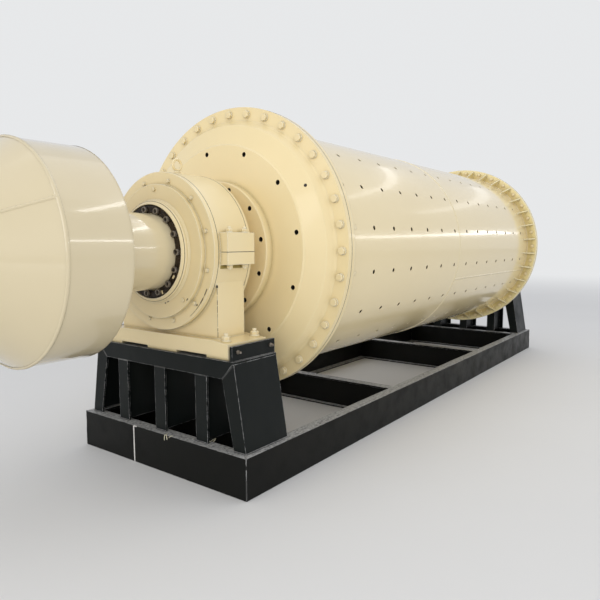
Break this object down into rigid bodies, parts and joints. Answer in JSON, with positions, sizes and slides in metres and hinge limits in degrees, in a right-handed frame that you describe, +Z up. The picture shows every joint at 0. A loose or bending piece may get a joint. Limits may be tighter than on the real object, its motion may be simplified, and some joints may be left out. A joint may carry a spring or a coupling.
{
  "type": "ball mill",
  "caption": "Ball mill: bolted cylindrical drum with a drum feeder, turning in two bearing housings on pedestals and a channel skid.",
  "frame": {"origin": "on the floor, in the middle of the foot flange of the skid's feed end beam, under the drum's axis", "axes": "+X along the drum's axis from the feed end to the discharge end, +Y across the mill to its far side in the picture, +Z up"},
  "size_m": [7.639, 2.094, 2.518],
  "materials": {
    "pale_cream_paint": "glossy",
    "warm_cream_paint": "semi gloss",
    "black_paint": "semi gloss, worn edges",
    "oily_steel": "dark and oily",
    "bearing_steel": "ground"
  },
  "bodies": {
    "stand": {"skid_beam_near": "black_paint", "skid_beam_far": "black_paint", "skid_beam_feed_end": "black_paint", "skid_beam_discharge_end": "black_paint", "skid_cross_beams": "black_paint", "pedestal_top_feed": "black_paint", "pedestal_side_near_feed": "black_paint", "pedestal_side_far_feed": "black_paint", "pedestal_posts_feed": "black_paint", "pedestal_stops_feed": "black_paint", "pedestal_top_discharge": "black_paint", "pedestal_side_near_discharge": "black_paint", "pedestal_side_far_discharge": "black_paint", "pedestal_posts_discharge": "black_paint", "pedestal_stops_discharge": "black_paint", "bearing_base_feed": "warm_cream_paint", "bearing_cap_feed": "warm_cream_paint", "bearing_outer_cover_feed": "warm_cream_paint", "bearing_inner_cover_feed": "warm_cream_paint", "roller_bearing_feed": "bearing_steel", "lifting_eye_feed": "warm_cream_paint", "bearing_base_discharge": "warm_cream_paint", "bearing_cap_discharge": "warm_cream_paint", "bearing_outer_cover_discharge": "warm_cream_paint", "bearing_inner_cover_discharge": "warm_cream_paint", "roller_bearing_discharge": "bearing_steel", "lifting_eye_discharge": "warm_cream_paint"},
    "drum": {"shell_course_feed": "pale_cream_paint", "shell_course_discharge": "pale_cream_paint", "shell_flange_feed": "pale_cream_paint", "shell_flange_discharge": "pale_cream_paint", "end_cap_feed": "warm_cream_paint", "end_cap_discharge": "warm_cream_paint", "trunnion_feed": "warm_cream_paint", "trunnion_discharge": "warm_cream_paint", "retaining_ring_feed": "oily_steel", "retaining_ring_discharge": "oily_steel", "feed_pipe": "pale_cream_paint", "discharge_pipe": "pale_cream_paint", "feeder_drum": "pale_cream_paint", "feeder_cone": "pale_cream_paint"}
  },
  "joints": [
    {"name": "drum_spin", "type": "hinge", "parent": "stand", "child": "drum", "pos_m": [3.052, 0, 1.471], "axis": [1, 0, 0], "continuous": true}
  ]
}
